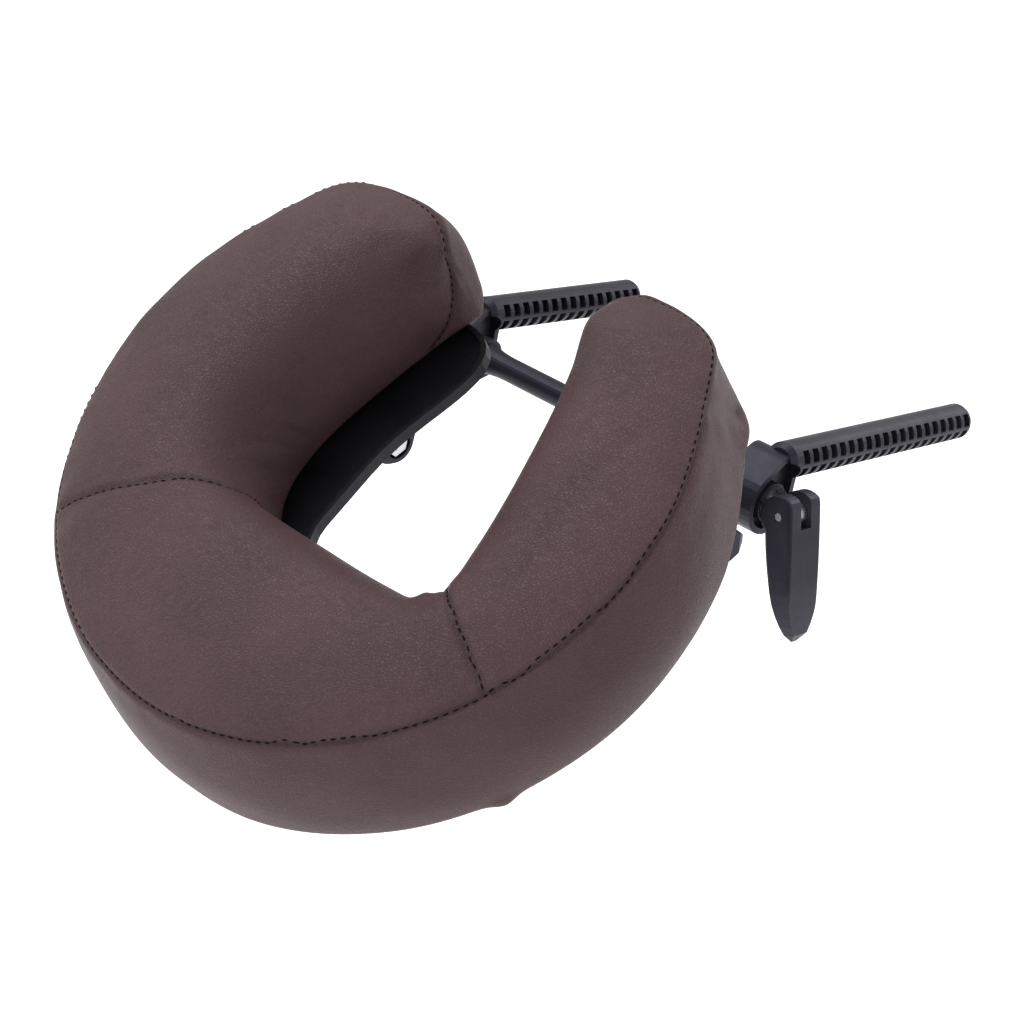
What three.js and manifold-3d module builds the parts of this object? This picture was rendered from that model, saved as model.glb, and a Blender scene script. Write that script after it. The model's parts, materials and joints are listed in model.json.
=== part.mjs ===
// Face cradle cushion on an adjustable two-peg frame. Millimetres, +Z up.
// Origin: centre of the long peg's free end face. +X: towards the cam lever side.
// +Y: along the pegs, out of their free ends towards the table. Pegs are horizontal.
// Solids are drawn from the middle of the main pivot axis, then moved to that origin.
import * as THREE from 'three';
import { mergeVertices } from 'three/addons/utils/BufferGeometryUtils.js';
import Module from 'manifold-3d';

const wasm = await Module();
wasm.setup();

const GAP = 0.3;
const RAD = Math.PI / 180;

// Table pegs and their hubs
const PEG_X = 97;
const PEG_R = 9;
const PEG_START_Y = 8;
const PEG_OFFSET_Z = 18;
const POCKET_FIRST_Y = 15.4;
const POCKET_PITCH = 7.4;
const POCKET_WIDTH = 4.6;
const LONG_POCKETS = 20;
const SHORT_POCKETS = 15;
const PEG_END_LAND = 6;
const PEG_CHAMFER = 2.5;
const UPPER_POCKET = { z0: 0.8, z1: 6.6, x0: 2.2 };
const LOWER_POCKET = { z0: -7.4, z1: -1.2, x0: 1.2 };
const HUB_R = 16;
const NECK_Y = 6;
const NECK_Z = 13;
const NECK_R = 9.4;
const HUB_INNER = -15;
const HUB_OUTER = 5;
const HUB_RECESS_DEPTH = 4;
const HUB_RIM = 3;

// Main pivot
const ROD_R = 3.25;
const ROD_HOLE_R = 3.6;
const DISC_T = 2;
const DISC_R = 10;
const WASHER_R = 8.5;
const WASHER_T = 2;
const NUT_R = 6.6;
const NUT_T = 5.2;

// Cam levers
const CAM_R = 10;
const LEVER_W = 24;
const LEVER_LENGTH = 60;
const LEVER_NOSE = 4;
const LEVER_SHOULDER = 30;
const LEVER_EDGE = 1.2;
const LEVER_SLOT = 8;
const LEVER_SWING = 15;
const PIN_R = 2;
const PIN_HOLE_R = 2.2;
const EYE_R = 5.4;
const EYE_W = 7;

// Yoke between the main pivot and the platform pivot
const YOKE_DISC_T = 7;
const YOKE_DISC_R = 10;
const BAR_R = 6.2;
const FLARE_R = 8.5;
const FLARE_L = 16;
const TILT_Y = -85;
const TILT_Z = -24;
const LINK_EYE_R = 10;
const TILT_BOLT_R = 3;
const TILT_HOLE_R = 3.3;

// Cushion frame: +Z is the cushion normal, +Y runs to the open end
const CUSHION_Y = -165.7;
const CUSHION_Z = 16.1;
const CUSHION_TILT = 44.4;
const CUSHION_R = 152;
const TIP_C = 109;
const SHOULDER_C = 84;
const OPENING_FRONT_C = 51.5;
const CROWN_H = 13;
const SIDE_H = 60;
const COVER_T = 1.6;
const EDGE_ROUND = 11;
const OUTLINE_SEGMENTS = 8;
const BASE_T = 1.5;
const PAD_T = 1.2;
const PLATE_T = 4;
const LIP_W = 2.4;
const LIP_H = 2.4;
const PLATE_R = 112;
const PLATE_TIP_C = 92;
const PLATE_HOLE = 40;
const PLATE_TIP_HOLE = 28;
const PLATE_FRONT_C = 50;
const BRACKET_T = 28;
const BRACKET_C = 32;
const BRACKET_LENGTH = 56;
const BRACKET_EDGE = 11;
const NUT_POCKET = 6.2;
const FLANGE_T = 4;
const SCREW_R = 2;

const PLATE_TOP = -SIDE_H - 2 * PAD_T - 3 * GAP;

const nylon = { color: 0x3c3b42, roughness: 0.55, metalness: 0.0 };
const steel = { color: 0xb8bbc0, roughness: 0.35, metalness: 0.9 };
const leather = { color: 0x5f4c4f, roughness: 0.5, metalness: 0.0 };

const group = new THREE.Group();
group.name = 'face_cradle_cushion';

function solid(geometry) {
  const g = geometry.clone();
  g.deleteAttribute('normal');
  g.deleteAttribute('uv');
  const merged = mergeVertices(g, 1e-4);
  return new wasm.Manifold(new wasm.Mesh({
    numProp: 3,
    vertProperties: Float32Array.from(merged.attributes.position.array),
    triVerts: Uint32Array.from(merged.index.array),
  }));
}

function geometryOf(body) {
  const mesh = body.getMesh();
  const g = new THREE.BufferGeometry();
  g.setAttribute('position', new THREE.BufferAttribute(mesh.vertProperties, 3));
  g.setIndex(new THREE.BufferAttribute(mesh.triVerts, 1));
  g.computeVertexNormals();
  return g;
}

function pegEnd(pockets) {
  return POCKET_FIRST_Y + (pockets - 1) * POCKET_PITCH + PEG_END_LAND;
}

function add(name, body, look) {
  const material = new THREE.MeshStandardMaterial(look);
  const placed = body.translate([-PEG_X, -pegEnd(LONG_POCKETS), -PEG_OFFSET_Z]);
  const mesh = new THREE.Mesh(geometryOf(placed), material);
  mesh.name = name;
  group.add(mesh);
}

// Solids with their axis along X, Y or Z
function rodX(r, x0, x1, y = 0, z = 0, segments = 24) {
  const g = new THREE.CylinderGeometry(r, r, x1 - x0, segments);
  g.rotateZ(-Math.PI / 2);
  g.translate((x0 + x1) / 2, y, z);
  return solid(g);
}

function rodY(r, y0, y1, x = 0, z = 0, segments = 24) {
  const g = new THREE.CylinderGeometry(r, r, y1 - y0, segments);
  g.translate(x, (y0 + y1) / 2, z);
  return solid(g);
}

function rodZ(r, z0, z1, x = 0, y = 0, segments = 16) {
  const g = new THREE.CylinderGeometry(r, r, z1 - z0, segments);
  g.rotateX(Math.PI / 2);
  g.translate(x, y, (z0 + z1) / 2);
  return solid(g);
}

function box(x0, x1, y0, y1, z0, z1) {
  const g = new THREE.BoxGeometry(x1 - x0, y1 - y0, z1 - z0);
  g.translate((x0 + x1) / 2, (y0 + y1) / 2, (z0 + z1) / 2);
  return solid(g);
}

function hexX(r, x0, x1, y = 0, z = 0) {
  return rodX(r, x0, x1, y, z, 6);
}

// Outline around two circles, joined by their outer tangents
function tangentShape(ya, za, ra, yb, zb, rb) {
  const heading = Math.atan2(zb - za, yb - ya);
  const distance = Math.hypot(yb - ya, zb - za);
  const lean = Math.acos((ra - rb) / distance);
  const shape = new THREE.Shape();
  shape.absarc(ya, za, ra, heading + lean, heading - lean + 2 * Math.PI, false);
  shape.absarc(yb, zb, rb, heading - lean, heading + lean, false);
  shape.closePath();
  return shape;
}

// Extrusion of a Y-Z outline from x0 to x1
function extrudeX(shape, x0, x1, segments = 10) {
  const options = { depth: x1 - x0, bevelEnabled: false, curveSegments: segments };
  const g = new THREE.ExtrudeGeometry(shape, options);
  const basis = new THREE.Matrix4().makeBasis(
    new THREE.Vector3(0, 1, 0),
    new THREE.Vector3(0, 0, 1),
    new THREE.Vector3(1, 0, 0),
  );
  g.applyMatrix4(basis);
  g.translate(x0, 0, 0);
  return solid(g);
}

// Places a solid drawn in the cushion frame
function tilted(body) {
  return body.rotate([CUSHION_TILT, 0, 0]).translate([0, CUSHION_Y, CUSHION_Z]);
}

function pegArm(pegX, pockets) {
  const endY = pegEnd(pockets);
  const profile = [
    new THREE.Vector2(0, PEG_START_Y - PEG_CHAMFER),
    new THREE.Vector2(PEG_R - PEG_CHAMFER, PEG_START_Y - PEG_CHAMFER),
    new THREE.Vector2(PEG_R, PEG_START_Y),
    new THREE.Vector2(PEG_R, endY - PEG_CHAMFER),
    new THREE.Vector2(PEG_R - 0.8, endY - 0.8),
    new THREE.Vector2(PEG_R - PEG_CHAMFER, endY),
    new THREE.Vector2(0, endY),
  ];
  const peg = new THREE.LatheGeometry(profile, 32);
  peg.translate(0, 0, PEG_OFFSET_Z);
  let arm = solid(peg);

  const outline = tangentShape(0, 0, HUB_R, NECK_Y, NECK_Z, NECK_R);
  arm = arm.add(extrudeX(outline, HUB_INNER, HUB_OUTER));

  const inner = tangentShape(0, 0, HUB_R - HUB_RIM, NECK_Y, NECK_Z, NECK_R - HUB_RIM);
  let recess = extrudeX(inner, HUB_OUTER - HUB_RECESS_DEPTH, HUB_OUTER + 5);
  recess = recess.subtract(rodX(WASHER_R + 1.2, HUB_INNER, HUB_OUTER + 6));
  arm = arm.subtract(recess);

  for (let i = 0; i < pockets; i += 1) {
    const y = POCKET_FIRST_Y + i * POCKET_PITCH - POCKET_WIDTH / 2;
    for (const row of [UPPER_POCKET, LOWER_POCKET]) {
      const z = PEG_OFFSET_Z;
      const cutter = box(row.x0, PEG_R + 2, y, y + POCKET_WIDTH, z + row.z0, z + row.z1);
      arm = arm.subtract(cutter);
    }
  }
  arm = arm.subtract(rodX(ROD_HOLE_R, HUB_INNER - 5, HUB_OUTER + 5));
  return arm.translate([pegX, 0, 0]);
}

// Rod of a pivot: plain shank with an eye for the cam pin at its +X end
function camRod(r, x0, pinX) {
  let rod = rodX(r, x0, pinX);
  rod = rod.add(rodY(EYE_R, -EYE_W / 2, EYE_W / 2, pinX));
  return rod.subtract(rodY(PIN_HOLE_R, -EYE_W, EYE_W, pinX));
}

// Cam lever about a pin along Y at the origin, handle hanging along -Z
function camLever() {
  const back = -6.6;
  const face = 7.6;
  const nose = 3.6;
  const side = new THREE.Shape();
  side.moveTo(face - 0.6, 0);
  side.absarc(0, 0, CAM_R, 45 * RAD, 225 * RAD, false);
  side.lineTo(back, -14);
  side.quadraticCurveTo(back + 1.2, -LEVER_SHOULDER, nose - 2.6, -LEVER_LENGTH + 3);
  side.lineTo(nose, -LEVER_LENGTH);
  side.lineTo(nose + 3.2, -LEVER_LENGTH + LEVER_NOSE);
  side.quadraticCurveTo(face + 1, -LEVER_SHOULDER, face, 4);
  side.closePath();
  const g = new THREE.ExtrudeGeometry(side, {
    depth: LEVER_W - 2 * LEVER_EDGE,
    bevelEnabled: true,
    bevelThickness: LEVER_EDGE,
    bevelSize: LEVER_EDGE,
    bevelOffset: -LEVER_EDGE,
    bevelSegments: 2,
    curveSegments: 8,
  });
  g.rotateX(Math.PI / 2);
  g.translate(0, LEVER_W / 2 - LEVER_EDGE, 0);
  let lever = solid(g);

  const half = LEVER_W / 2;
  const reach = 2 * CAM_R;
  const cheek = -LEVER_LENGTH + 10;
  const front = new THREE.Shape();
  front.moveTo(-half, reach);
  front.lineTo(-half, -LEVER_SHOULDER);
  front.quadraticCurveTo(-half + 0.6, cheek, -2, -LEVER_LENGTH);
  front.quadraticCurveTo(0, -LEVER_LENGTH - 1, 2, -LEVER_LENGTH);
  front.quadraticCurveTo(half + 1, cheek, half, -LEVER_SHOULDER);
  front.lineTo(half, reach);
  front.closePath();
  lever = lever.intersect(extrudeX(front, -reach, reach, 6));

  const slotBottom = -6;
  lever = lever.subtract(
    box(-reach, reach, -LEVER_SLOT / 2, LEVER_SLOT / 2, slotBottom, reach),
  );
  lever = lever.subtract(rodY(PIN_HOLE_R, -reach, reach));
  return lever.rotate([0, -LEVER_SWING, 0]);
}

function yoke() {
  const right = PEG_X + HUB_INNER - DISC_T - 2 * GAP;
  const left = -PEG_X + HUB_OUTER + DISC_T + 2 * GAP;
  const outline = tangentShape(0, 0, YOKE_DISC_R, TILT_Y, TILT_Z, LINK_EYE_R);
  let body = extrudeX(outline, right - YOKE_DISC_T, right);
  body = body.add(extrudeX(outline, left, left + YOKE_DISC_T));

  const start = left + YOKE_DISC_T - 1;
  const end = right - YOKE_DISC_T + 1;
  const profile = [new THREE.Vector2(0, start)];
  const steps = 4;
  for (let i = 0; i <= steps; i += 1) {
    const t = i / steps;
    profile.push(new THREE.Vector2(BAR_R + (FLARE_R - BAR_R) * (1 - t) ** 2, start + FLARE_L * t));
  }
  for (let i = 0; i <= steps; i += 1) {
    const t = i / steps;
    profile.push(new THREE.Vector2(BAR_R + (FLARE_R - BAR_R) * t ** 2, end - FLARE_L * (1 - t)));
  }
  profile.push(new THREE.Vector2(0, end));
  const bar = new THREE.LatheGeometry(profile, 28);
  bar.rotateZ(-Math.PI / 2);
  body = body.add(solid(bar));

  body = body.subtract(rodX(ROD_HOLE_R, left - 5, right + 5));
  return body.subtract(rodX(TILT_HOLE_R, left - 5, right + 5, TILT_Y, TILT_Z));
}

// U outline of the cushion in its own frame; inset moves it inwards.
// The face opening is widest at the front and narrows towards the tips.
function cushionShape(inset = 0) {
  const r = CUSHION_R - inset;
  const tip = TIP_C - inset;
  const front = -OPENING_FRONT_C - inset;
  const side = (x) => x + inset;
  const shape = new THREE.Shape();
  const a = Math.asin(SHOULDER_C / CUSHION_R);
  shape.absarc(0, 0, r, Math.PI - a, 1.5 * Math.PI, false);
  shape.absarc(0, 0, r, 1.5 * Math.PI, 2 * Math.PI + a, false);
  shape.bezierCurveTo(118 - inset, 101 - inset, 106, tip, 92, tip);
  shape.bezierCurveTo(66, tip, side(50), 110 - inset, side(49), 92 - inset);
  shape.bezierCurveTo(side(55), 62, side(68), 30, side(79), -24);
  shape.bezierCurveTo(side(84), -44, side(80), front, 64, front);
  shape.lineTo(-64, front);
  shape.bezierCurveTo(-side(80), front, -side(84), -44, -side(79), -24);
  shape.bezierCurveTo(-side(68), 30, -side(55), 62, -side(49), 92 - inset);
  shape.bezierCurveTo(-side(50), 110 - inset, -66, tip, -92, tip);
  shape.bezierCurveTo(-106, tip, -118 + inset, 101 - inset, -r * Math.cos(a), r * Math.sin(a));
  return shape;
}

function cushionBlock(inset, bottom, top) {
  const round = EDGE_ROUND;
  const g = new THREE.ExtrudeGeometry(cushionShape(inset), {
    depth: top - bottom - round,
    bevelEnabled: true,
    bevelThickness: round,
    bevelSize: round,
    bevelOffset: -round,
    bevelSegments: 3,
    curveSegments: OUTLINE_SEGMENTS,
  });
  g.translate(0, 0, bottom);
  const reach = 2 * CUSHION_R;
  return solid(g).intersect(box(-reach, reach, -reach, reach, bottom, top + 1));
}

function slab(shape, z0, z1) {
  const g = new THREE.ExtrudeGeometry(shape, {
    depth: z1 - z0,
    bevelEnabled: false,
    curveSegments: OUTLINE_SEGMENTS,
  });
  g.translate(0, 0, z0);
  return solid(g);
}

// U outline of the carrier plate
function plateShape(inset = 0) {
  const r = PLATE_R - inset;
  const tip = PLATE_TIP_C - inset;
  const hole = PLATE_HOLE + inset;
  const tipHole = PLATE_TIP_HOLE + inset;
  const front = -PLATE_FRONT_C - inset;
  const shoulder = 60;
  const cornerX = Math.sqrt(r * r - shoulder * shoulder);
  const a = Math.asin(shoulder / r);
  const shape = new THREE.Shape();
  shape.absarc(0, 0, r, Math.PI - a, 2 * Math.PI + a, false);
  shape.bezierCurveTo(cornerX - 12, 82 - inset, 76, tip, 64, tip);
  shape.bezierCurveTo(42, tip, tipHole, tip - 2, tipHole, tip - 22);
  shape.bezierCurveTo(tipHole + 1, 50, hole, 32, hole, 4);
  shape.lineTo(hole, -28);
  shape.bezierCurveTo(hole, -44, 27 + inset / 2, front, 0, front);
  shape.bezierCurveTo(-27 - inset / 2, front, -hole, -44, -hole, -28);
  shape.lineTo(-hole, 4);
  shape.bezierCurveTo(-hole, 32, -tipHole - 1, 50, -tipHole, tip - 22);
  shape.bezierCurveTo(-tipHole, tip - 2, -42, tip, -64, tip);
  shape.bezierCurveTo(-76, tip, -cornerX + 12, 82 - inset, -cornerX, shoulder);
  return shape;
}

const SCREWS = [
  [74, 10], [74, 54], [-84, 10], [-84, 54],
];

function plate() {
  const lower = PLATE_TOP - PLATE_T;
  let body = slab(plateShape(), lower, PLATE_TOP + LIP_H);
  body = body.subtract(slab(plateShape(LIP_W), PLATE_TOP, PLATE_TOP + LIP_H + 5));
  for (const [x, c] of SCREWS) {
    body = body.subtract(rodZ(SCREW_R + 0.3, lower - 5, PLATE_TOP + 5, x, c));
  }
  return tilted(body);
}

// Straight or curved fastening pad between two bearings of the U
function padShape(r0, r1, from, to) {
  const shape = new THREE.Shape();
  shape.absarc(0, 0, r1, from * RAD, to * RAD, false);
  shape.absarc(0, 0, r0, to * RAD, from * RAD, true);
  shape.closePath();
  return shape;
}

const PADS = [
  ['right', 82, 102, -14, 34],
  ['left', 82, 102, 146, 194],
  ['front', 66, 100, 232, 308],
];

// Bracket: flange screwed under the plate over a wide hinge barrel on the tilt axis.
// The nut sits in a pocket at the barrel's end nearest the middle.
function bracket(x0, x1, flange0, flange1) {
  const lower = PLATE_TOP - PLATE_T - GAP;
  const half = BRACKET_LENGTH / 2;
  let body = box(flange0, flange1, BRACKET_C - half, BRACKET_C + half, lower - FLANGE_T, lower);
  const eyeC = tiltAxisInCushion().c;
  const eyeH = tiltAxisInCushion().h;
  body = body.add(extrudeX(
    tangentShape(eyeC, lower - 12, 13.5, eyeC, eyeH, LINK_EYE_R - 0.5), x0, x1,
  ));
  const above = 21;
  body = body.subtract(
    box(-CUSHION_R, CUSHION_R, -CUSHION_R, CUSHION_R, lower, lower + above),
  );
  body = body.subtract(rodX(TILT_HOLE_R, x0 - 9, x1 + 9, eyeC, eyeH));
  const pocket = x0 > 0 ? [x0 - 1, x0 + NUT_POCKET] : [x1 - NUT_POCKET, x1 + 1];
  body = body.subtract(rodX(NUT_R + 0.7, pocket[0], pocket[1], eyeC, eyeH));
  for (const [x, c] of SCREWS) {
    if (x > flange0 && x < flange1) {
      body = body.subtract(rodZ(SCREW_R + GAP, lower - 2 * FLANGE_T, lower + 5, x, c));
    }
  }
  return tilted(body);
}

// Tilt axis in cushion coordinates
function tiltAxisInCushion() {
  const dy = TILT_Y - CUSHION_Y;
  const dz = TILT_Z - CUSHION_Z;
  const cos = Math.cos(CUSHION_TILT * RAD);
  const sin = Math.sin(CUSHION_TILT * RAD);
  return { c: dy * cos + dz * sin, h: -dy * sin + dz * cos };
}

function screw(x, c) {
  const lower = PLATE_TOP - PLATE_T - GAP - FLANGE_T - GAP;
  let body = rodZ(SCREW_R, lower - 1, PLATE_TOP - 0.4, x, c);
  body = body.add(rodZ(SCREW_R * 2, lower - 2.6, lower, x, c));
  body = body.subtract(box(x - 3, x + 3, c - 0.5, c + 0.5, lower - 4, lower - 1.6));
  return tilted(body);
}

// ---- Peg arms and main pivot ----
const hubRight = PEG_X + HUB_OUTER;
const hubLeft = -PEG_X + HUB_INNER;
const camX = hubRight + GAP + WASHER_T + GAP + CAM_R;
add('right_peg_arm', pegArm(PEG_X, LONG_POCKETS), nylon);
add('left_peg_arm', pegArm(-PEG_X, SHORT_POCKETS), nylon);
add('pivot_rod', camRod(ROD_R, hubLeft - 9.5, camX), steel);
add('cam_pin', rodY(PIN_R, -LEVER_W / 2 + 0.6, LEVER_W / 2 - 0.6, camX), steel);
const washerStart = hubRight + GAP;
add(
  'cam_washer',
  rodX(WASHER_R, washerStart, washerStart + WASHER_T).subtract(rodX(ROD_HOLE_R, 0, 200)),
  steel,
);
const nutEnd = hubLeft - GAP - 1.5 - GAP;
add(
  'rod_washer',
  rodX(WASHER_R, hubLeft - GAP - 1.5, hubLeft - GAP).subtract(rodX(ROD_HOLE_R, -200, 0)),
  steel,
);
add('rod_nut', hexX(NUT_R, nutEnd - NUT_T, nutEnd).subtract(rodX(ROD_HOLE_R, -200, 0)), steel);
const discs = {
  right_friction_disc: PEG_X + HUB_INNER - GAP - DISC_T,
  left_friction_disc: -PEG_X + HUB_OUTER + GAP,
};
for (const [name, x] of Object.entries(discs)) {
  const disc = rodX(DISC_R, x, x + DISC_T).subtract(rodX(ROD_HOLE_R, x - 5, x + 5));
  add(name, disc, { color: 0x2c2a2c, roughness: 0.9, metalness: 0.0 });
}
add('cam_lever', camLever().translate([camX, 0, 0]), nylon);

// ---- Yoke and tilt pivots ----
add('crossbar_yoke', yoke(), nylon);
const linkRight = PEG_X + HUB_INNER - DISC_T - 2 * GAP;
const linkLeft = -PEG_X + HUB_OUTER + DISC_T + 2 * GAP;
const bracketRight = linkRight - YOKE_DISC_T - GAP;
const bracketLeft = linkLeft + YOKE_DISC_T + GAP;

function tiltNut(x0) {
  const hole = rodX(TILT_HOLE_R, x0 - 9, x0 + 15, TILT_Y, TILT_Z);
  return hexX(NUT_R, x0, x0 + NUT_T, TILT_Y, TILT_Z).subtract(hole);
}

const leftBoltHead = hexX(NUT_R, linkLeft - GAP - 4, linkLeft - GAP, TILT_Y, TILT_Z);
const leftFace = bracketLeft + BRACKET_T;
const leftBoltEnd = leftFace - 0.2;
const leftShank = rodX(TILT_BOLT_R, linkLeft - 1, leftBoltEnd, TILT_Y, TILT_Z);
add('left_tilt_bolt', leftBoltHead.add(leftShank), steel);
add('left_tilt_nut', tiltNut(leftFace - NUT_POCKET + GAP), steel);

const tiltWasher = linkRight + GAP;
const tiltCamX = tiltWasher + WASHER_T + GAP + CAM_R;
const tiltTurn = 90 + Math.atan2(TILT_Z, TILT_Y) / RAD + 180;
const rightFace = bracketRight - BRACKET_T;
const tiltRodStart = rightFace + 0.2;

function onTiltAxis(body) {
  return body.rotate([tiltTurn, 0, 0]).translate([0, TILT_Y, TILT_Z]);
}
add('right_tilt_rod', onTiltAxis(camRod(TILT_BOLT_R, tiltRodStart, tiltCamX)), steel);
add('right_tilt_nut', tiltNut(rightFace + NUT_POCKET - GAP - NUT_T), steel);
add(
  'tilt_washer',
  onTiltAxis(rodX(WASHER_R, tiltWasher, tiltWasher + WASHER_T).subtract(rodX(TILT_HOLE_R, 0, 200))),
  steel,
);
const tiltPin = rodY(PIN_R, -LEVER_W / 2 + 0.6, LEVER_W / 2 - 0.6, tiltCamX);
add('tilt_pin', onTiltAxis(tiltPin), steel);
add('tilt_lever', onTiltAxis(camLever().translate([tiltCamX, 0, 0])), nylon);

// ---- Platform ----
add('platform_plate', plate(), { color: 0x2b2a2f, roughness: 0.6, metalness: 0.0 });
add(
  'right_bracket',
  bracket(rightFace, bracketRight, rightFace, bracketRight + BRACKET_EDGE),
  nylon,
);
add(
  'left_bracket',
  bracket(bracketLeft, leftFace, bracketLeft - BRACKET_EDGE, leftFace),
  nylon,
);
SCREWS.forEach(([x, c], i) => add(`bracket_screw_${i + 1}`, screw(x, c), steel));
for (const [name, r0, r1, from, to] of PADS) {
  const shape = padShape(r0, r1, from, to);
  const hookTop = -SIDE_H - GAP;
  const loopTop = hookTop - PAD_T - GAP;
  add(`${name}_hook_pad`, tilted(slab(shape, hookTop - PAD_T, hookTop)), {
    color: 0x19191b, roughness: 0.95, metalness: 0.0,
  });
  add(`${name}_loop_pad`, tilted(slab(shape, loopTop - PAD_T, loopTop)), {
    color: 0x131315, roughness: 1.0, metalness: 0.0,
  });
}

// ---- Cushion ----
const coreInset = COVER_T + GAP;
const cover = cushionBlock(0, -SIDE_H, CROWN_H).subtract(
  cushionBlock(COVER_T, -SIDE_H - 5, CROWN_H - COVER_T),
);
add('cushion_cover', tilted(cover), leather);
add(
  'cushion_foam',
  tilted(cushionBlock(coreInset, -SIDE_H + BASE_T + GAP, CROWN_H - coreInset)),
  { color: 0xe3d9b8, roughness: 0.95, metalness: 0.0 },
);
add(
  'cushion_base_panel',
  tilted(slab(cushionShape(coreInset), -SIDE_H, -SIDE_H + BASE_T)),
  { color: 0x231d1f, roughness: 0.9, metalness: 0.0 },
);

export default group;
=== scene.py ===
"""Looks of the face cradle cushion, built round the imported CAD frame."""
import json
import math

import bmesh
import bpy
import numpy as np
from mathutils import Matrix, Vector, noise
from mathutils.bvhtree import BVHTree


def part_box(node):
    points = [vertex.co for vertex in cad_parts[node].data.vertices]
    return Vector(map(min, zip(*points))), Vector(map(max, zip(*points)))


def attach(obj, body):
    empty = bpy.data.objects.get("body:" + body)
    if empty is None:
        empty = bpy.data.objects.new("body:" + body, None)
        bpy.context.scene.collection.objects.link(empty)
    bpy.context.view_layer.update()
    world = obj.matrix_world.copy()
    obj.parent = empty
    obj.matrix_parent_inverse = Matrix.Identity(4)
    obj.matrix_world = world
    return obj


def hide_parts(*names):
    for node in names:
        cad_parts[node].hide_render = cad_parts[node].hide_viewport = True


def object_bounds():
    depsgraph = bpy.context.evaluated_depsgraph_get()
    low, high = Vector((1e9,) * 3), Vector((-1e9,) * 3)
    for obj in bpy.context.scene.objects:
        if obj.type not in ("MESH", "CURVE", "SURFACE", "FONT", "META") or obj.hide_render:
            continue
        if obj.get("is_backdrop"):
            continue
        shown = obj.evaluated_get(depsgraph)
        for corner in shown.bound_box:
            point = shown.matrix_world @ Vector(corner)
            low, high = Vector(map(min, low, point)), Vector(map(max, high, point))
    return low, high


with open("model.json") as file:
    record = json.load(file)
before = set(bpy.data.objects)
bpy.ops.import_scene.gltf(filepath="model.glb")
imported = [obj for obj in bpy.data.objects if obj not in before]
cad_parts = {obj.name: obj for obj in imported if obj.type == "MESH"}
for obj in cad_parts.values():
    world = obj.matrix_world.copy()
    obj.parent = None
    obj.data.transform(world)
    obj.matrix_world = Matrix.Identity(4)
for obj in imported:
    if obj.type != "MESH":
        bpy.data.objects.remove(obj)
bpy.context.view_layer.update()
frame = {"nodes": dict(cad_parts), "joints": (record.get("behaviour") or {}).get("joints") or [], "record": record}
NODES = frame["nodes"]
JOINTS = {j["name"]: j for j in frame["joints"]}
MM = 0.001

# ---------------------------------------------------------------- cushion frame
# Local axes: x as the row, c towards the open end, h along the cushion's normal.
TILT = math.radians(44.4)
C_AXIS = Vector((0, math.cos(TILT), math.sin(TILT)))
N_AXIS = Vector((0, -math.sin(TILT), math.cos(TILT)))
PIVOT = Vector(JOINTS["height_pivot"]["pos_m"])
BASE_LOW, BASE_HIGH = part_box("cushion_base_panel")
BASE_MID_C = (-150.1 + 107.1) / 2 * MM
BASE_MID_H = -59.25 * MM
CENTRE = (BASE_LOW + BASE_HIGH) / 2 - C_AXIS * BASE_MID_C - N_AXIS * BASE_MID_H

SEAM_R = 151.5
TIP_C = 110.0
SIDE_H = 58.2
# The top rises to a crown from the outer seam and rolls down into the face opening
CROWN = 12.0
CROWN_RUN = 17.0
FULL_WIDTH = 62.0
ROLL_IN = 31.0
ROLL_DOWN = 33.0
# The side band stands out this far at the foot of the front
FLARE = 12.0


CUSHION = "cushion_top_and_band"


def finished_mesh(bm, name):
    mesh = bpy.data.meshes.new(name)
    bm.to_mesh(mesh)
    bm.free()
    return mesh


def linked(name, data):
    """New object of the scene with some data."""
    obj = bpy.data.objects.new(name, data)
    bpy.context.scene.collection.objects.link(obj)
    return obj


def place(x, c, h):
    """Cushion coordinates in millimetres to the row frame in metres."""
    return CENTRE + Vector((x * MM, 0, 0)) + C_AXIS * (c * MM) + N_AXIS * (h * MM)


def bezier(p0, p1, p2, p3, n):
    t = np.linspace(0, 1, n, endpoint=False)[:, None]
    p0, p1, p2, p3 = map(np.array, (p0, p1, p2, p3))
    return (1 - t) ** 3 * p0 + 3 * (1 - t) ** 2 * t * p1 + 3 * (1 - t) * t**2 * p2 + t**3 * p3


def resample(points, n):
    gaps = np.hypot(*np.diff(points, axis=0).T)
    along = np.concatenate([[0], np.cumsum(gaps)])
    want = np.linspace(0, along[-1], n)
    return np.stack([np.interp(want, along, points[:, k]) for k in (0, 1)], 1)


APEX = (46.0, 97.0)


def outer_outline(n):
    """Plan outline from the right tip's inner corner, round the outside, to the left one."""
    a = math.asin(84 / SEAM_R)
    shoulder = (SEAM_R * math.cos(a), SEAM_R * math.sin(a))
    tip = bezier(APEX, (50, TIP_C - 1), (62, TIP_C + 1), (86, TIP_C), 60)
    corner = bezier((86, TIP_C), (107, TIP_C - 1), (119, 102), shoulder, 60)
    turn = np.linspace(a, -math.pi / 2, 200)
    arc = np.stack([SEAM_R * np.cos(turn), SEAM_R * np.sin(turn)], 1)
    half = np.concatenate([tip, corner, arc])
    points = resample(np.concatenate([half, half[-2::-1] * [-1, 1]]), n)
    # the sewn cover isn't quite symmetrical: fuller at the right tip and along the left side
    x, c = points[:, 0].copy(), points[:, 1].copy()
    points[:, 1] += 4.5 * np.clip((x - 48) / 16, 0, 1) * np.clip((c - 50) / 50, 0, 1)
    points[:, 0] -= 3.0 * np.clip((x - 85) / 35, 0, 1) * np.clip((c - 40) / 45, 0, 1)
    left = np.clip((-x - 60) / 40, 0, 1)
    points[:, 0] -= 2.0 * left * np.clip((c + 70) / 60, 0, 1) * np.clip((105 - c) / 40, 0, 1)
    return points


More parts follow.
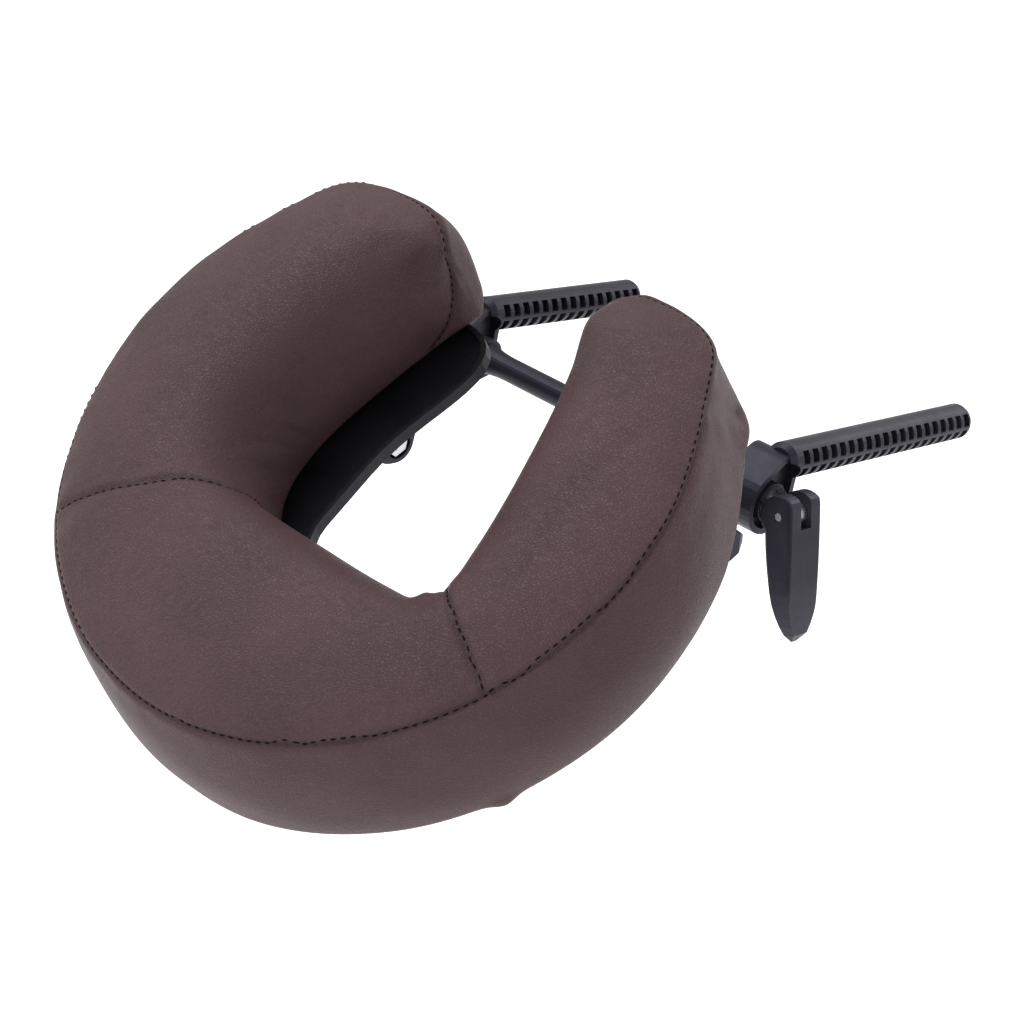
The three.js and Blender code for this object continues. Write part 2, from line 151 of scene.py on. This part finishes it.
def inner_outline(n):
    """Plan outline round the face opening, between the same two corners."""
    left_apex = (-APEX[0], APEX[1])
    right_side = bezier(APEX, (54, 62), (67, 30), (77.5, -24), 120)
    right_corner = bezier((77.5, -24), (82.5, -42), (80, -49.5), (62, -49.5), 60)
    front = bezier((62, -49.5), (30, -49.5), (0, -49.5), (-28, -49.5), 90)
    left_corner = bezier((-28, -49.5), (-56, -49), (-66, -30), (-65, 0), 90)
    left_side = bezier((-65, 0), (-64, 30), (-54, 60), left_apex, 120)
    sides = [right_side, right_corner, front, left_corner, left_side, [left_apex]]
    return resample(np.concatenate(sides), n)


# Loft sections: along the U, across the top, and down each side
ALONG = 261
ACROSS = 27
WALL = 13
UNDER = 8
OUTER = outer_outline(ALONG)
INNER = inner_outline(ALONG)


def arc_lengths(outline):
    return np.concatenate([[0], np.cumsum(np.hypot(*np.diff(outline, axis=0).T))])


OUTER_S, INNER_S = arc_lengths(OUTER), arc_lengths(INNER)


# The seam drops over this run before a tip's inner corner, then falls and dies into the foot
TIP_RUN = 24
TIP_DROP = 14
TIP_FALL = 44


def seam_height(s):
    """Height of the seam at a distance along the outline."""
    s = min(s, OUTER_S[-1] - s)
    return -TIP_DROP * max(0.0, 1 - s / TIP_RUN) ** 2


def crown_height(across, width):
    """Height above the seam of a point at a distance from the outer edge."""
    size = min(1.0, width / FULL_WIDTH)
    from_inner = width - across
    rise = CROWN * size * (1 - math.exp(-across / CROWN_RUN))
    reach = ROLL_IN * size
    drop = 0.0
    if from_inner < reach and reach > 0:
        rolled = (reach - from_inner) / reach
        drop = ROLL_DOWN * size * (1 - math.sqrt(max(0.0, 1 - rolled**2)))
    return rise - drop


def top_point(i, v):
    """Point on the top surface: i along the U, v from 0 at the outer seam to 1 inside."""
    lo = int(min(max(math.floor(i), 0), ALONG - 2))
    t = i - lo
    outer = OUTER[lo] * (1 - t) + OUTER[lo + 1] * t
    inner = INNER[lo] * (1 - t) + INNER[lo + 1] * t
    width = float(np.hypot(*(outer - inner)))
    x, c = outer * (1 - v) + inner * v
    base = seam_height(OUTER_S[lo] * (1 - t) + OUTER_S[lo + 1] * t)
    return Vector((x, c, base + crown_height(v * width, width)))


SEAM_ROWS = (1.3, 3.2)


def across_steps(width):
    """Sections of the top, closer together at the seam and where it rolls into the opening."""
    t = np.linspace(0, 1, ACROSS)
    steps = 1 - (1 - t) ** 1.35
    lead = [r / max(width, 12.0) for r in SEAM_ROWS]
    return np.concatenate([[0], lead, lead[-1] + (1 - lead[-1]) * steps[1:]])


def flare(x, c, depth):
    """How far the side band stands out at a depth from 0 at the seam to 1 at its foot."""
    bearing = math.atan2(c, x)
    front = max(0.0, math.cos((bearing + math.radians(58)) * 0.95)) if c < 90 else 0.0
    side = max(0.0, math.cos(bearing + math.radians(20))) * min(1.0, max(0.0, (70 - c) / 60))
    corner = min(1.0, max(0.0, (c - 90) / 8)) * min(1.0, max(0.0, (95 - abs(x)) / 35))
    west = max(0.0, math.cos(bearing + math.radians(165))) ** 2
    tuck = math.exp(-(((x - 115) / 22) ** 2) - ((c - 91) / 22) ** 2)
    full = 3.0 + 6.0 * side + 7.0 * corner + 4.0 * west - 8.0 * tuck
    bulge = full * math.sin(math.pi * min(1.0, depth)) ** 0.8
    return FLARE * front**1.4 * depth + bulge


def wall_point(x, c, top, depth):
    out = 1 + flare(x, c, depth) / math.hypot(x, c)
    return (x * out, c * out, top - (SIDE_H + top) * depth)


MERGE_GAP = 0.25
SMOOTH_PASSES = 10
# Smoothing keeps this far from the seam and from the foot
SEAM_CLEAR = 4.0
FOOT_CLEAR = 6.0


def cushion_mesh():
    """Closed loft of the cushion, smoothed between its seam and its foot."""
    bm = bmesh.new()
    depths = [1 - k / WALL for k in range(WALL)] + [r / SIDE_H for r in reversed(SEAM_ROWS)]
    rings = []
    for i in range(ALONG):
        ring = []
        ox, oc = OUTER[i]
        ix, ic = INNER[i]
        width = math.hypot(ox - ix, oc - ic)
        top = seam_height(OUTER_S[i])
        inner_top = top + crown_height(width, width)
        for depth in depths:
            ring.append(wall_point(ox, oc, top, depth))
        for v in across_steps(width):
            p = top_point(i, v)
            ring.append((p.x, p.y, p.z))
        for k in range(1, WALL + 1):
            ring.append((ix, ic, inner_top + (-SIDE_H - inner_top) * k / WALL))
        foot = wall_point(ox, oc, top, 1)
        for k in range(1, UNDER):
            s = k / UNDER
            ring.append((ix + (foot[0] - ix) * s, ic + (foot[1] - ic) * s, -SIDE_H))
        rings.append([bm.verts.new(p) for p in ring])
    count = len(rings[0])
    for i in range(ALONG - 1):
        for k in range(count):
            a, b = rings[i][k], rings[i][(k + 1) % count]
            c, d = rings[i + 1][(k + 1) % count], rings[i + 1][k]
            bm.faces.new((a, d, c, b))
    bmesh.ops.remove_doubles(bm, verts=bm.verts, dist=MERGE_GAP)
    holes = [e for e in bm.edges if e.is_boundary]
    if holes:
        bmesh.ops.holes_fill(bm, edges=holes)
    bmesh.ops.recalc_face_normals(bm, faces=bm.faces)
    outer = np.column_stack([OUTER, [seam_height(s) for s in OUTER_S]])
    inside = []
    for v in bm.verts:
        on_seam = np.min(((outer - v.co) ** 2).sum(1)) < SEAM_CLEAR**2
        if v.co.z > -SIDE_H + FOOT_CLEAR and not on_seam:
            inside.append(v)
    for _ in range(SMOOTH_PASSES):
        bmesh.ops.smooth_vert(
            bm, verts=inside, factor=0.5, use_axis_x=True, use_axis_y=True, use_axis_z=True
        )
    return finished_mesh(bm, CUSHION)


# Seam paths, as points on the loft
def outer_seam():
    """Top edge of the side band: it drops at each tip's inner corner and dies into the foot."""
    end = []
    for k in range(11, 0, -1):
        s = 2.6 * k
        x, c = (np.interp(s, INNER_S, INNER[:, a]) for a in (0, 1))
        end.append(Vector((x, c, -TIP_DROP - TIP_FALL * (1 - math.exp(-s / 9)))))
    over = [Vector((*OUTER[i], seam_height(OUTER_S[i]))) for i in range(ALONG)]
    mirrored = [Vector((-p.x, p.y, p.z)) for p in reversed(end)]
    return end + over + mirrored


TOP_GRID = np.array([top_point(i, v) for i in range(ALONG - 1) for v in np.linspace(0, 1, 41)])


def on_top(x, c):
    """Point of the top surface over a plan point, from its nearest grid points."""
    gap = np.hypot(TOP_GRID[:, 0] - x, TOP_GRID[:, 1] - c)
    near = np.argsort(gap)[:6]
    weight = 1 / (gap[near] + 0.3) ** 2
    return Vector((x, c, float((TOP_GRID[near, 2] * weight).sum() / weight.sum())))


def panel_seam(p0, p1, p2, p3, foot):
    """Seam across the top between plan points, then down to its foot inside the face opening."""
    points = [on_top(x, c) for x, c in bezier(p0, p1, p2, p3, 60)] + [on_top(*p3)]
    down = [points[-1].lerp(Vector((*foot, -SIDE_H)), k / 13) for k in range(1, 14)]
    return points + down


SEAMS = {
    "outer": outer_seam(),
    "left": panel_seam((-107, -103.5), (-86, -86), (-62, -67), (-41, -51.5), (-54, -42)),
    "right": panel_seam((132, -71), (114, -60), (98, -50), (79.5, -40), (79.5, -40)),
}


def seam_arrays():
    return {name: np.array([list(p) for p in path]) for name, path in SEAMS.items()}


def distance_to(path, points):
    """Distance in millimetres from each point to a path of segments."""
    best = np.full(len(points), 1e9)
    for a, b in zip(path[:-1], path[1:]):
        ab = b - a
        length2 = float(ab @ ab)
        if length2 < 1e-9:
            continue
        t = np.clip(((points - a) @ ab) / length2, 0, 1)
        gap = points - (a + t[:, None] * ab)
        best = np.minimum(best, np.sqrt((gap**2).sum(1)))
    return best


def mesh_points(mesh):
    co = np.zeros(len(mesh.vertices) * 3, np.float32)
    mesh.vertices.foreach_get("co", co)
    return co.reshape(-1, 3).astype(float)


def set_points(mesh, points):
    mesh.vertices.foreach_set("co", points.astype(np.float32).ravel())
    mesh.update()


def mesh_normals(mesh):
    no = np.zeros(len(mesh.vertices) * 3, np.float32)
    mesh.vertices.foreach_get("normal", no)
    return no.reshape(-1, 3).astype(float)


# The cloth step: frames, furthest move, and how far from seams and foot it is held
CLOTH_FRAMES = 20
SWELL_CAP = 7.0
PIN_REACH = 4.0
PIN_FOOT = 3.0


def inflate(obj, pinned, cap):
    """Cloth under pressure with its seams held, then the shape is kept on the mesh."""
    group = obj.vertex_groups.new(name="seams")
    for i, weight in enumerate(pinned):
        if weight > 0:
            group.add([i], float(weight), "REPLACE")
    modifier = obj.modifiers.new("cloth", "CLOTH")
    cloth = modifier.settings
    cloth.quality = 6
    cloth.mass = 0.3
    cloth.tension_stiffness = 14
    cloth.compression_stiffness = 14
    cloth.shear_stiffness = 6
    cloth.bending_stiffness = 0.6
    cloth.use_pressure = True
    cloth.uniform_pressure_force = 4.0
    cloth.effector_weights.gravity = 0
    cloth.vertex_group_mass = "seams"
    cloth.pin_stiffness = 1.0
    modifier.collision_settings.use_collision = False
    modifier.collision_settings.use_self_collision = False
    before = mesh_points(obj.data)
    scene = bpy.context.scene
    for f in range(1, CLOTH_FRAMES + 1):
        scene.frame_set(f)
    graph = bpy.context.evaluated_depsgraph_get()
    moved = mesh_points(obj.evaluated_get(graph).to_mesh())
    obj.evaluated_get(graph).to_mesh_clear()
    obj.modifiers.remove(modifier)
    obj.vertex_groups.remove(group)
    scene.frame_set(1)
    step = moved - before
    length = np.sqrt((step**2).sum(1))
    scale = np.minimum(1.0, cap / np.maximum(length, 1e-9))
    set_points(obj.data, before + step * scale[:, None])
    print("cloth moved up to", round(float(length.max()) * 1000, 1), "mm")


def build_cushion():
    mesh = cushion_mesh()
    seams = seam_arrays()
    points = mesh_points(mesh)
    closest = np.minimum.reduce([distance_to(path, points) for path in seams.values()])
    world = np.array([list(place(*p)) for p in points])
    set_points(mesh, world)
    obj = linked(CUSHION, mesh)
    pin = np.clip(1.15 - closest / PIN_REACH, 0, 1)
    pin[points[:, 2] < -SIDE_H + PIN_FOOT] = 1.0
    inflate(obj, pin, SWELL_CAP * MM)
    modifier = obj.modifiers.new("smooth", "SUBSURF")
    modifier.levels = modifier.render_levels = 1
    graph = bpy.context.evaluated_depsgraph_get()
    fine = bpy.data.meshes.new_from_object(obj.evaluated_get(graph))
    obj.modifiers.clear()
    obj.data = fine
    fine.name = CUSHION
    return obj


def local_points(world):
    """Row frame in metres to cushion coordinates in millimetres."""
    rel = (world - np.array(CENTRE)) / MM
    return np.stack([rel[:, 0], rel @ np.array(C_AXIS), rel @ np.array(N_AXIS)], 1)


# Lumps stand proud of the cover: centre, radii and height, in cushion millimetres
LUMPS = [
    ((80, -51, -2), (7, 5, 9), 3.0),
    ((136, -92, -57), (6, 6, 4), 2.6),
    ((-137, -80, -57), (7, 6, 4), 1.4),
]
# Creases sink into it, with soft banks: path, width and depth
CREASES = [
    ([(131, 82, -4), (121, 96, -24), (112, 105, -46)], 4.5, 3.2),
    ([(-133, 80, -6), (-124, 94, -26), (-114, 104, -48)], 4.5, 2.6),
    ([(118, 60, 11), (112, 20, 12), (118, -20, 11)], 6.0, 0.9),
    ([(-112, 66, 11), (-106, 30, 12), (-110, -10, 11)], 6.0, 0.9),
    ([(40, -56, 2), (36, -74, 9), (40, -92, 12)], 6.0, 0.8),
    ([(-60, -60, 2), (-70, -70, 9), (-84, -76, 12)], 5.0, 1.0),
]

OUTER_GROOVE = 1.6
PANEL_GROOVE = 1.5
GROOVE_WIDTH = 1.7


def sew(obj):
    """Presses the seams into the cover, with soft puckers beside them."""
    mesh = obj.data
    world = mesh_points(mesh)
    local = local_points(world)
    normals = mesh_normals(mesh)
    depth = np.zeros(len(local))
    pucker = np.array([noise.noise(Vector(p) * 0.085) for p in local])
    for name, path in seam_arrays().items():
        gap = distance_to(path, local)
        groove = OUTER_GROOVE if name == "outer" else PANEL_GROOVE
        depth += groove * np.exp(-((gap / GROOVE_WIDTH) ** 2))
        depth += 0.8 * pucker * np.exp(-((gap / 13) ** 2)) * (1 - np.exp(-((gap / 4) ** 2)))
    for centre, size, rise in LUMPS:
        depth -= rise * np.exp(-(((local - np.array(centre)) / size) ** 2).sum(1))
    for path, width, sink in CREASES:
        gap = distance_to(np.array(path, float), local)
        bank = 0.45 * np.exp(-((gap / width / 2.4) ** 2))
        depth += sink * (np.exp(-((gap / width) ** 2)) - bank)
    slow = np.array([noise.noise(Vector((p[0], p[1] + 40, p[2] * 2)) * 0.022) for p in local])
    depth += 0.9 * slow
    set_points(mesh, world - normals * (depth * MM)[:, None])
    # weight near the seams for the leather colour: it darkens the cover along them, painted shade of the narrow
    # seam grooves
    weight = np.zeros(len(local))
    for path in seam_arrays().values():
        weight = np.maximum(weight, np.exp(-((distance_to(path, local) / 1.5) ** 2)))
    layer = mesh.attributes.new("seam_groove_shade", "FLOAT", "POINT")
    layer.data.foreach_set("value", weight.astype(np.float32))


# ---------------------------------------------------------------- materials
def new_material(name):
    material = bpy.data.materials.new(name)
    material.use_nodes = True
    tree = material.node_tree
    tree.nodes.clear()
    out = tree.nodes.new("ShaderNodeOutputMaterial")
    shader = tree.nodes.new("ShaderNodeBsdfPrincipled")
    tree.links.new(shader.outputs[0], out.inputs[0])
    return material, tree, shader


def node(tree, kind, inputs=None, **settings):
    n = tree.nodes.new(kind)
    for key, value in settings.items():
        setattr(n, key, value)
    for key, value in (inputs or {}).items():
        if isinstance(value, bpy.types.NodeSocket):
            tree.links.new(value, n.inputs[key])
        else:
            n.inputs[key].default_value = value
    return n


def srgb(r, g, b):
    def linear(v):
        v /= 255
        return v / 12.92 if v <= 0.04045 else ((v + 0.055) / 1.055) ** 2.4

    return (linear(r), linear(g), linear(b), 1.0)


def object_coords(tree):
    return node(tree, "ShaderNodeTexCoord").outputs["Object"]


def mix_colour(tree, factor, a, b, mode="MIX"):
    n = node(tree, "ShaderNodeMix", data_type="RGBA", blend_type=mode)
    for socket, value in ((n.inputs[0], factor), (n.inputs[6], a), (n.inputs[7], b)):
        if isinstance(value, bpy.types.NodeSocket):
            tree.links.new(value, socket)
        else:
            socket.default_value = value
    return n.outputs[2]


def maths(tree, operation, a, b=0.0, c=0.0):
    n = node(tree, "ShaderNodeMath", operation=operation)
    for k, value in enumerate((a, b, c)):
        if isinstance(value, bpy.types.NodeSocket):
            tree.links.new(value, n.inputs[k])
        else:
            n.inputs[k].default_value = value
    return n.outputs[0]


def ramp(tree, factor, low, high):
    n = node(tree, "ShaderNodeMapRange", {"Value": factor})
    n.inputs["From Min"].default_value = low
    n.inputs["From Max"].default_value = high
    return n.outputs[0]


def leather():
    """Coated leathercloth: fine pebble cells between creases, satin, a little mottled, darkened along the seams as
    painted shade.
    """
    material, tree, shader = new_material("leathercloth")
    at = object_coords(tree)
    warp = node(tree, "ShaderNodeTexNoise", {"Vector": at, "Scale": 160.0, "Detail": 2.0})
    shift = node(
        tree, "ShaderNodeVectorMath", {0: warp.outputs["Color"], 1: (0.0045, 0.0045, 0.0045)},
        operation="MULTIPLY",
    )
    moved = node(tree, "ShaderNodeVectorMath", {0: at, 1: shift.outputs[0]}, operation="ADD")
    stretch = node(tree, "ShaderNodeMapping", {"Vector": moved.outputs[0]})
    stretch.inputs["Scale"].default_value = (0.6, 1.2, 1.2)
    cells = node(
        tree, "ShaderNodeTexVoronoi", {"Vector": stretch.outputs[0], "Scale": 820.0},
        feature="DISTANCE_TO_EDGE",
    )
    creases = ramp(tree, cells.outputs["Distance"], 0.0, 0.28)
    fine = node(tree, "ShaderNodeTexNoise", {"Vector": at, "Scale": 2600.0, "Detail": 2.0})
    broad = node(tree, "ShaderNodeTexNoise", {"Vector": at, "Scale": 22.0, "Detail": 3.0})
    grain = maths(tree, "ADD", creases, maths(tree, "MULTIPLY", fine.outputs[0], 0.25))
    seam_groove_shade = node(tree, "ShaderNodeAttribute", attribute_name="seam_groove_shade")
    tone = mix_colour(
        tree, ramp(tree, broad.outputs[0], 0.3, 0.7), srgb(68, 48, 51), srgb(79, 57, 60)
    )
    tone = mix_colour(tree, maths(tree, "MULTIPLY", maths(tree, "SUBTRACT", 1.0, creases), 0.38),
                      tone, srgb(44, 30, 31))
    # darker along the seams: painted shade in the narrow seam grooves
    tone = mix_colour(tree, maths(tree, "MULTIPLY", seam_groove_shade.outputs["Fac"], 0.4), tone,
                      srgb(34, 22, 22))
    tree.links.new(tone, shader.inputs["Base Color"])
    rough = maths(tree, "MULTIPLY_ADD", broad.outputs[0], 0.12, 0.42)
    tree.links.new(rough, shader.inputs["Roughness"])
    shader.inputs["Specular IOR Level"].default_value = 0.2
    bump = node(tree, "ShaderNodeBump", {"Height": grain, "Strength": 0.5, "Distance": 0.0004})
    tree.links.new(bump.outputs[0], shader.inputs["Normal"])
    return material


def nylon(name, dark, light, grain=1.0, wear=0.25):
    """Glass-filled nylon: satin, fine moulded grain, edges rubbed lighter."""
    material, tree, shader = new_material(name)
    at = object_coords(tree)
    speck = node(tree, "ShaderNodeTexNoise", {"Vector": at, "Scale": 1500.0, "Detail": 4.0})
    broad = node(tree, "ShaderNodeTexNoise", {"Vector": at, "Scale": 35.0, "Detail": 4.0})
    flow = node(
        tree, "ShaderNodeTexNoise", {"Vector": at, "Scale": 90.0, "Detail": 6.0, "Distortion": 1.2}
    )
    edge = node(tree, "ShaderNodeNewGeometry")
    worn = ramp(tree, edge.outputs["Pointiness"], 0.54, 0.66)
    tone = mix_colour(tree, ramp(tree, broad.outputs[0], 0.35, 0.65), dark, light)
    tone = mix_colour(tree, maths(tree, "MULTIPLY", ramp(tree, speck.outputs[0], 0.55, 0.7), 0.2),
                      tone, srgb(52, 51, 63))
    tone = mix_colour(tree, maths(tree, "MULTIPLY", worn, wear), tone, srgb(84, 83, 97))
    tree.links.new(tone, shader.inputs["Base Color"])
    rough = maths(tree, "MULTIPLY_ADD", flow.outputs[0], 0.2, 0.3)
    shader.inputs["Specular IOR Level"].default_value = 0.2
    shader.inputs["Specular Tint"].default_value = (0.8, 0.78, 1.0, 1.0)
    tree.links.new(rough, shader.inputs["Roughness"])
    height = maths(tree, "MULTIPLY_ADD", speck.outputs[0], 0.7, flow.outputs[0])
    bump = node(
        tree, "ShaderNodeBump", {"Height": height, "Strength": 0.22 * grain, "Distance": 0.0005}
    )
    tree.links.new(bump.outputs[0], shader.inputs["Normal"])
    return material


def steel():
    """Zinc-plated steel with turning lines and light scratches."""
    material, tree, shader = new_material("zinc_plate")
    at = object_coords(tree)
    lines = node(tree, "ShaderNodeTexNoise", {"Vector": at, "Scale": 900.0, "Detail": 5.0})
    cloud = node(tree, "ShaderNodeTexNoise", {"Vector": at, "Scale": 120.0, "Detail": 3.0})
    tone = mix_colour(tree, cloud.outputs[0], srgb(176, 178, 184), srgb(214, 214, 216))
    tree.links.new(tone, shader.inputs["Base Color"])
    shader.inputs["Metallic"].default_value = 1.0
    tree.links.new(
        maths(tree, "MULTIPLY_ADD", lines.outputs[0], 0.3, 0.16), shader.inputs["Roughness"]
    )
    bump = node(
        tree, "ShaderNodeBump", {"Height": lines.outputs[0], "Strength": 0.2, "Distance": 0.0002}
    )
    tree.links.new(bump.outputs[0], shader.inputs["Normal"])
    return material


def cloth(name, dark, light, weave, strength=0.6):
    """Woven or looped textile."""
    material, tree, shader = new_material(name)
    at = object_coords(tree)
    warp = node(
        tree, "ShaderNodeTexWave", {"Vector": at, "Scale": weave, "Distortion": 1.0},
        bands_direction="X",
    )
    weft = node(
        tree, "ShaderNodeTexWave", {"Vector": at, "Scale": weave, "Distortion": 1.0},
        bands_direction="DIAGONAL",
    )
    fuzz = node(tree, "ShaderNodeTexNoise", {"Vector": at, "Scale": 2200.0, "Detail": 3.0})
    threads = maths(tree, "MAXIMUM", warp.outputs[1], weft.outputs[1])
    height = maths(tree, "MULTIPLY_ADD", fuzz.outputs[0], 0.8, threads)
    tree.links.new(
        mix_colour(tree, ramp(tree, height, 0.3, 1.6), dark, light), shader.inputs["Base Color"]
    )
    shader.inputs["Roughness"].default_value = 0.92
    shader.inputs["Sheen Weight"].default_value = 0.3
    bump = node(
        tree, "ShaderNodeBump", {"Height": height, "Strength": strength, "Distance": 0.0006}
    )
    tree.links.new(bump.outputs[0], shader.inputs["Normal"])
    return material


def thread():
    """Twisted bonded thread."""
    material, tree, shader = new_material("thread")
    at = object_coords(tree)
    twist = node(
        tree, "ShaderNodeTexWave", {"Vector": at, "Scale": 900.0, "Distortion": 0.6},
        bands_direction="DIAGONAL",
    )
    tone = mix_colour(tree, twist.outputs[1], srgb(6, 3, 3), srgb(20, 10, 9))
    tree.links.new(tone, shader.inputs["Base Color"])
    shader.inputs["Roughness"].default_value = 0.85
    shader.inputs["Specular IOR Level"].default_value = 0.1
    bump = node(
        tree, "ShaderNodeBump", {"Height": twist.outputs[1], "Strength": 0.5, "Distance": 0.0002}
    )
    tree.links.new(bump.outputs[0], shader.inputs["Normal"])
    return material


MATERIALS = {
    "nylon": nylon("glass_filled_nylon", srgb(24, 23, 29), srgb(35, 34, 43)),
    "plate": nylon("moulded_plate", srgb(11, 11, 12), srgb(18, 18, 20), 0.8, 0.1),
    "friction": nylon("friction_facing", srgb(22, 20, 21), srgb(30, 27, 28), 1.6, 0.1),
    "steel": steel(),
    "leather": leather(),
    "base_cloth": cloth("base_cloth", srgb(14, 11, 12), srgb(36, 30, 32), 900.0),
    "hook": cloth("hook_pad", srgb(9, 9, 10), srgb(34, 34, 37), 1400.0, 1.0),
    "loop": cloth("loop_pad", srgb(8, 8, 9), srgb(26, 26, 29), 700.0, 1.0),
    "foam": cloth("foam", srgb(196, 186, 150), srgb(228, 220, 190), 500.0, 0.8),
}


def dress_cad():
    for part in frame["record"]["subparts"]:
        for slot in NODES[part["node"]].material_slots:
            slot.material = MATERIALS[part["material_slot"]]


# ---------------------------------------------------------------- stitching
def surface_probe(obj):
    mesh = obj.data
    return BVHTree.FromPolygons([v.co for v in mesh.vertices], [p.vertices for p in mesh.polygons])


def along_path(path, pitch):
    """Evenly spaced points in the row frame on a seam path in cushion coordinates."""
    world = [place(*p) for p in path]
    lengths = [0.0]
    for a, b in zip(world[:-1], world[1:]):
        lengths.append(lengths[-1] + (b - a).length)
    out, k = [], 0
    for d in np.arange(int(lengths[-1] / pitch) + 1) * pitch:
        while k < len(lengths) - 2 and lengths[k + 1] < d:
            k += 1
        span = max(lengths[k + 1] - lengths[k], 1e-9)
        out.append(world[k].lerp(world[k + 1], (d - lengths[k]) / span))
    return out


STITCH_PITCH = 0.0043
STITCH_LENGTH = 0.0034
THREAD_R = 0.00047
STITCH_RINGS = 7
STITCH_SIDES = 6


def stitch_ring(bm, centre, across, normal, radius):
    ring = []
    for q in range(STITCH_SIDES):
        turn = 2 * math.pi * q / STITCH_SIDES
        out = across * math.cos(turn) + normal * math.sin(turn)
        ring.append(bm.verts.new(centre + out * radius))
    return ring


def stitch_line(name, path, probe, side):
    """One row of stitches, each a thin arched tube lying in the cover."""
    bm = bmesh.new()
    snapped = [probe.find_nearest(p)[:2] for p in along_path(path, STITCH_PITCH)]
    for (a, na), (b, nb) in zip(snapped[:-1], snapped[1:]):
        along = b - a
        if along.length < 1e-6:
            continue
        along.normalize()
        normal = (na + nb).normalized()
        across = along.cross(normal).normalized()
        centre, normal = probe.find_nearest((a + b) / 2 + across * side)[:2]
        rings = []
        for t in np.linspace(0, 1, STITCH_RINGS):
            arch = math.sin(math.pi * t)
            lift = (arch * 1.1 - 1.0) * THREAD_R
            at = centre + along * ((t - 0.5) * STITCH_LENGTH) + normal * lift
            rings.append(stitch_ring(bm, at, across, normal, THREAD_R * (0.55 + 0.45 * arch)))
        for r0, r1 in zip(rings[:-1], rings[1:]):
            for q in range(STITCH_SIDES):
                after = (q + 1) % STITCH_SIDES
                bm.faces.new((r0[q], r0[after], r1[after], r1[q]))
        bm.faces.new(rings[0][::-1])
        bm.faces.new(rings[-1])
    bmesh.ops.recalc_face_normals(bm, faces=bm.faces)
    mesh = finished_mesh(bm, name)
    mesh.materials.append(THREAD)
    obj = linked(name, mesh)
    shade_smooth(obj)
    return obj


def shade_smooth(obj):
    for p in obj.data.polygons:
        p.use_smooth = True


THREAD = thread()


def piece(obj, body, slot_name, *replaced):
    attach(obj, body)
    if replaced:
        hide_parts(*replaced)


dress_cad()
cushion = build_cushion()
sew(cushion)
shade_smooth(cushion)
cushion.data.materials.clear()
cushion.data.materials.append(MATERIALS["leather"])
piece(cushion, "platform", "leather", "cushion_cover", "cushion_foam")

probe = surface_probe(cushion)
piece(stitch_line("outer_stitches", SEAMS["outer"], probe, 0.0012), "platform", "leather")
piece(stitch_line("left_panel_stitches", SEAMS["left"], probe, 0.0010), "platform", "leather")
piece(stitch_line("right_panel_stitches", SEAMS["right"], probe, 0.0010), "platform", "leather")

EDGE_RADIUS = 0.6
EDGE_ANGLE = 40


def soften_edges():
    """Small rounds on the sharp edges of the CAD pieces that stay visible."""
    for obj in NODES.values():
        if obj.hide_render:
            continue
        bevel = obj.modifiers.new("soft_edges", "BEVEL")
        bevel.width = EDGE_RADIUS * MM
        bevel.segments = 2
        bevel.limit_method = "ANGLE"
        bevel.angle_limit = math.radians(EDGE_ANGLE)
        bevel.harden_normals = True


soften_edges()


# ---------------------------------------------------------------- stage
FLOOR_HALF = 30.0


def floor():
    """Pale ground, lower than anything can swing to about the height pivot."""
    low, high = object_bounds()
    along = max(PIVOT.y - low.y, high.y - PIVOT.y)
    upright = max(PIVOT.z - low.z, high.z - PIVOT.z)
    reach = math.hypot(along, upright)
    bm = bmesh.new()
    bmesh.ops.create_grid(bm, x_segments=8, y_segments=8, size=FLOOR_HALF)
    mesh = finished_mesh(bm, "floor")
    obj = linked("floor", mesh)
    obj.location = (PIVOT.x, PIVOT.y, PIVOT.z - reach - 0.002)
    material, _, shader = new_material("pale_floor")
    shader.inputs["Base Color"].default_value = (0.95, 0.95, 0.95, 1)
    shader.inputs["Roughness"].default_value = 0.9
    shader.inputs["Emission Color"].default_value = (1, 1, 1, 1)
    shader.inputs["Emission Strength"].default_value = 0.25
    mesh.materials.append(material)
    obj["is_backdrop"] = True


def area_light(name, offset, size, power):
    """Square light aimed at the cushion."""
    data = bpy.data.lights.new(name, "AREA")
    data.shape = "SQUARE"
    data.size = size
    data.energy = power
    obj = linked(name, data)
    obj.location = CENTRE + Vector(offset)
    obj.rotation_mode = "QUATERNION"
    obj.rotation_quaternion = (CENTRE - obj.location).to_track_quat("-Z", "Y")


def studio():
    area_light("key", (-0.9, -0.5, 1.7), 1.4, 34)
    area_light("fill", (1.6, -1.3, 0.9), 1.6, 9)
    area_light("back", (0.4, 1.8, 1.2), 1.4, 14)
    world = bpy.data.worlds.new("studio")
    world.use_nodes = True
    background = world.node_tree.nodes["Background"]
    background.inputs[0].default_value = (1, 1, 1, 1)
    # the backdrop itself is white, while it lights the cushion more softly
    seen = node(world.node_tree, "ShaderNodeLightPath").outputs["Is Camera Ray"]
    strength = maths(world.node_tree, "MULTIPLY_ADD", seen, 0.25, 0.75)
    world.node_tree.links.new(strength, background.inputs[1])
    bpy.context.scene.world = world


LENS = 79.8
CAMERA_OFFSET = Vector((0.6200, -0.8426, 0.3646))


def camera():
    """Three-quarter view from the right front, rolled about 12 degrees."""
    right = Vector((0.7143, 0.6693, 0.2042))
    up = Vector((-0.3996, 0.1506, 0.9042))
    back = Vector((0.5745, -0.7275, 0.3751))
    data = bpy.data.cameras.new("camera")
    data.sensor_width = 36
    data.lens = LENS
    data.clip_start, data.clip_end = 0.02, 120
    obj = linked("camera", data)
    basis = Matrix((right, up, back)).transposed().to_4x4()
    obj.matrix_world = Matrix.Translation(PIVOT + CAMERA_OFFSET) @ basis
    bpy.context.scene.camera = obj


floor()
studio()
camera()
bpy.context.scene.view_settings.view_transform = "Standard"
